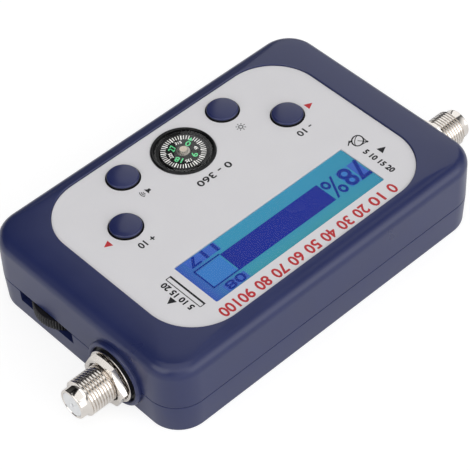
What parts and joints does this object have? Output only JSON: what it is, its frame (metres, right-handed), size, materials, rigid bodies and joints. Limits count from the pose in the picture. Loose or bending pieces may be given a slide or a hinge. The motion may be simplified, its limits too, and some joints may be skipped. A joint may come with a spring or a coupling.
{
  "type": "satellite signal meter",
  "caption": "Hand-held satellite signal meter: rounded box with a display, compass, push buttons, side thumbwheel and a threaded coaxial connector at each end.",
  "frame": {"origin": "centre of the flat back face, which the meter lies on", "axes": "+X along the box towards the receiver connector, +Y across it towards the display, +Z out of the face"},
  "size_m": [0.1288, 0.0672, 0.0233],
  "materials": {
    "navy_plastic": "fine satin texture",
    "label_film": "satin film",
    "clear_window": "clear",
    "display_blue": "lit display",
    "light_guide": "milky",
    "black_plastic": "satin",
    "contact_rubber": "matte",
    "board_green": "solder mask",
    "wheel_black": "satin",
    "nickel_plate": "bright nickel",
    "brass": "machined",
    "screw_steel": "zinc plated",
    "insulator_white": "smooth"
  },
  "bodies": {
    "housing": {"upper_shell": "navy_plastic", "lower_shell": "navy_plastic", "face_label": "label_film", "display_window": "clear_window", "display_glass": "display_blue", "display_backlight": "light_guide", "display_frame": "black_plastic", "display_contact_strip": "contact_rubber", "main_board": "board_green", "main_chip": "black_plastic", "compass_cup": "black_plastic", "compass_lens": "clear_window", "compass_pivot": "brass", "thumbwheel_axle": "brass", "potentiometer_body": "black_plastic", "buzzer_element": "black_plastic", "att_receiver_switch_body": "screw_steel", "att_satellite_switch_body": "screw_steel", "light_switch_body": "screw_steel", "buzzer_switch_body": "screw_steel", "receiver_connector_shell": "nickel_plate", "receiver_flat_washer": "nickel_plate", "receiver_lock_washer": "nickel_plate", "receiver_hex_nut": "nickel_plate", "receiver_insulator": "insulator_white", "receiver_centre_contact": "brass", "satellite_connector_shell": "nickel_plate", "satellite_flat_washer": "nickel_plate", "satellite_lock_washer": "nickel_plate", "satellite_hex_nut": "nickel_plate", "satellite_insulator": "insulator_white", "satellite_centre_contact": "brass", "case_screw_1": "screw_steel", "board_screw_1": "screw_steel", "case_screw_2": "screw_steel", "board_screw_2": "screw_steel", "case_screw_3": "screw_steel", "board_screw_3": "screw_steel", "case_screw_4": "screw_steel", "board_screw_4": "screw_steel"},
    "att_receiver_button": {"att_receiver_button": "navy_plastic", "att_receiver_switch_plunger": "black_plastic"},
    "att_satellite_button": {"att_satellite_button": "navy_plastic", "att_satellite_switch_plunger": "black_plastic"},
    "light_button": {"light_button": "navy_plastic", "light_switch_plunger": "black_plastic"},
    "buzzer_button": {"buzzer_button": "navy_plastic", "buzzer_switch_plunger": "black_plastic"},
    "sensitivity_thumbwheel": {"sensitivity_thumbwheel": "wheel_black"},
    "compass_card": {"compass_card": "black_plastic", "compass_hub": "brass"}
  },
  "joints": [
    {"name": "att_receiver_button_press", "type": "slide", "parent": "housing", "child": "att_receiver_button", "axis": [0, 0, -1], "range_m": [0, 0.0004], "stiffness_N_per_m": 1500},
    {"name": "att_satellite_button_press", "type": "slide", "parent": "housing", "child": "att_satellite_button", "axis": [0, 0, -1], "range_m": [0, 0.0004], "stiffness_N_per_m": 1500},
    {"name": "light_button_press", "type": "slide", "parent": "housing", "child": "light_button", "axis": [0, 0, -1], "range_m": [0, 0.0004], "stiffness_N_per_m": 1500},
    {"name": "buzzer_button_press", "type": "slide", "parent": "housing", "child": "buzzer_button", "axis": [0, 0, -1], "range_m": [0, 0.0004], "stiffness_N_per_m": 1500},
    {"name": "sensitivity_turn", "type": "hinge", "parent": "housing", "child": "sensitivity_thumbwheel", "pos_m": [0.04365, -0.0125, 0.007], "axis": [0, 0, 1], "range_deg": [-135, 135]},
    {"name": "compass_swing", "type": "hinge", "parent": "housing", "child": "compass_card", "pos_m": [0, -0.0184, 0.0212], "axis": [0, 0, 1], "continuous": true}
  ]
}
